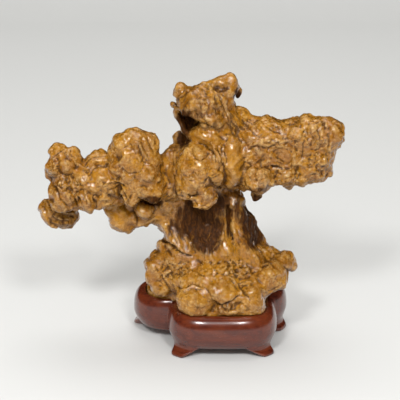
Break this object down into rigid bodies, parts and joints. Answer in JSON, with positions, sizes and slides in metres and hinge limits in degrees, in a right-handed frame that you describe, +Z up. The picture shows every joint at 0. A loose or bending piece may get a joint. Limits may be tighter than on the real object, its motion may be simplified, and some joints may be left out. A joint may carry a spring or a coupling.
{
  "type": "scholars rock",
  "caption": "Scholar's rock of honey-brown stone, with a horned head, an overhanging shelf and a cloud-like arm, set in a carved lobed wooden stand.",
  "frame": {"origin": "on the surface under the stand, below the middle of the object's box", "axes": "+X to the shelf side along the longest extent, +Y to the back, +Z up"},
  "size_m": [0.1966, 0.09, 0.182],
  "materials": {
    "stone": "waxed honey-brown stone with dark creases",
    "stand_wood": "polished dark red-brown hardwood"
  },
  "bodies": {
    "root": {"rock": "stone", "stand": "stand_wood"}
  },
  "joints": []
}
